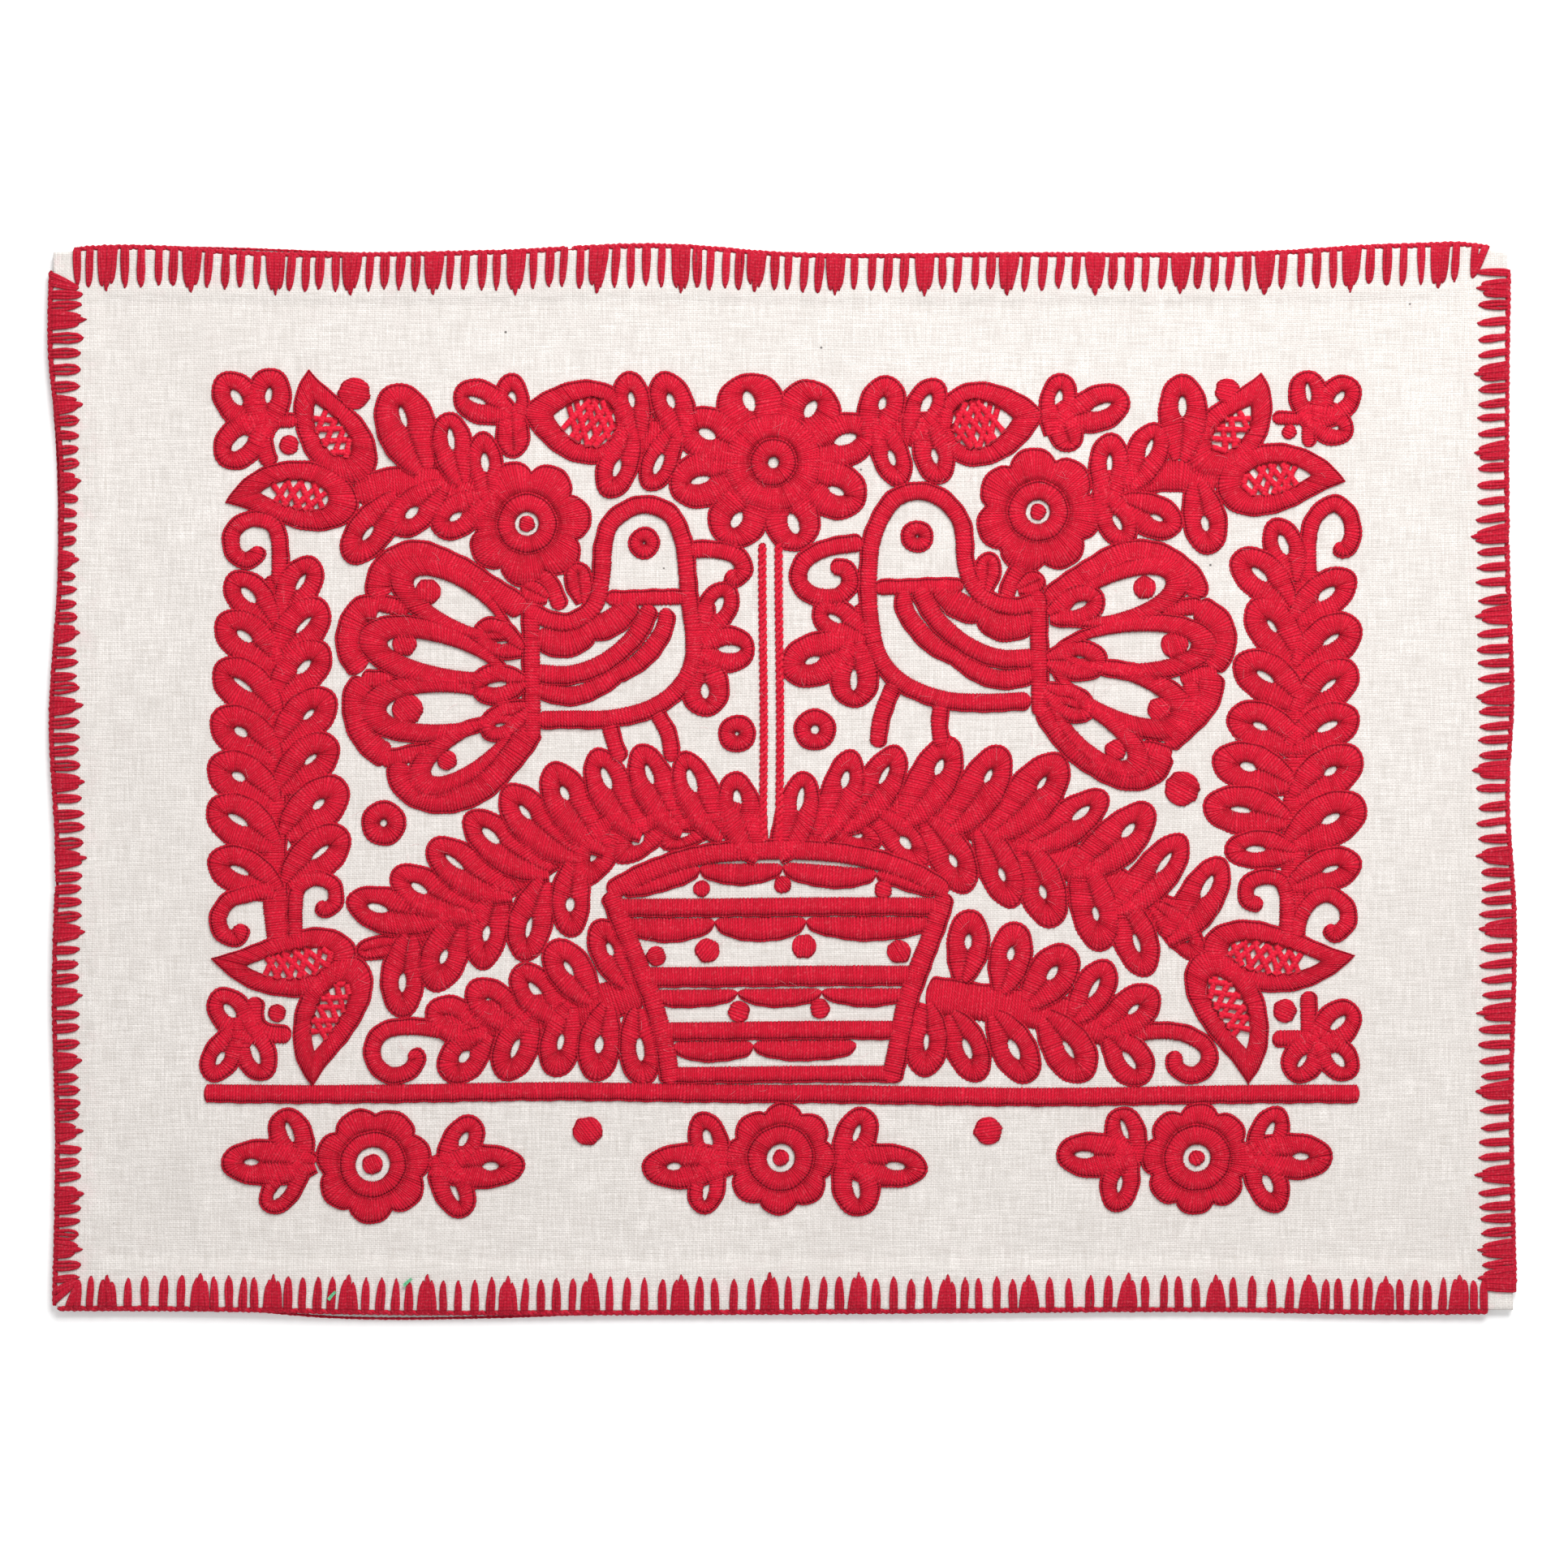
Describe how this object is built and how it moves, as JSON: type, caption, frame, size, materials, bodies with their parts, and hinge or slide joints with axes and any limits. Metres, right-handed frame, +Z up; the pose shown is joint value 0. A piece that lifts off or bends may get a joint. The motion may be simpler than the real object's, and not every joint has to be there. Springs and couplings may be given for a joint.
{
  "type": "embroidered pillowcase",
  "caption": "Rectangular cotton pillowcase lying flat, front up, edged in wool blanket stitch and worked with raised red birds, flowers and leaf sprays.",
  "frame": {"origin": "under the middle of the pillowcase, on the surface it lies on", "axes": "+X towards the embroidery's right, +Y towards its top, +Z up out of the worked side"},
  "size_m": [0.6808, 0.5, 0.0062],
  "materials": {
    "cotton_cloth": "matt off-white plain-weave homespun with slubs and small dark flecks",
    "red_wool": "soft matt two-ply wool yarn in close buttonhole stitch, carmine red"
  },
  "bodies": {
    "root": {"back_panel": "cotton_cloth", "front_panel": "cotton_cloth", "edging_top": "red_wool", "edging_bottom": "red_wool", "edging_left": "red_wool", "edging_right": "red_wool", "back_edging_top": "red_wool", "back_edging_bottom": "red_wool", "back_edging_left": "red_wool", "back_edging_right": "red_wool", "flower": "red_wool", "basket": "red_wool", "base_bar": "red_wool", "sprig_left": "red_wool", "sprig_middle": "red_wool", "sprig_right": "red_wool", "stem_left": "red_wool", "stem_right": "red_wool", "bird_left": "red_wool", "bird_right": "red_wool", "bird_eye_left": "red_wool", "bird_eye_right": "red_wool", "bird_tail_left": "red_wool", "bird_tail_right": "red_wool", "rosette_left": "red_wool", "rosette_right": "red_wool", "paisley_long_left": "red_wool", "paisley_long_right": "red_wool", "paisleys_top_left": "red_wool", "paisleys_top_right": "red_wool", "paisleys_bottom_left": "red_wool", "paisleys_bottom_right": "red_wool", "clover_top_left": "red_wool", "clover_top_right": "red_wool", "clover_bottom_left": "red_wool", "clover_bottom_right": "red_wool", "arch_left": "red_wool", "arch_right": "red_wool", "lower_spray_left": "red_wool", "lower_spray_right": "red_wool", "side_spray_left": "red_wool", "side_spray_right": "red_wool", "top_spray_left": "red_wool", "top_spray_right": "red_wool", "flower_spray_left": "red_wool", "flower_spray_right": "red_wool", "sprout_left": "red_wool", "sprout_right": "red_wool", "breast_sprig_left": "red_wool", "breast_sprig_right": "red_wool", "dot_stem_left": "red_wool", "dot_stem_right": "red_wool", "dot_side_left": "red_wool", "dot_side_right": "red_wool", "dot_top_left": "red_wool", "dot_top_right": "red_wool", "dot_bottom_left": "red_wool", "dot_bottom_right": "red_wool"}
  },
  "joints": []
}
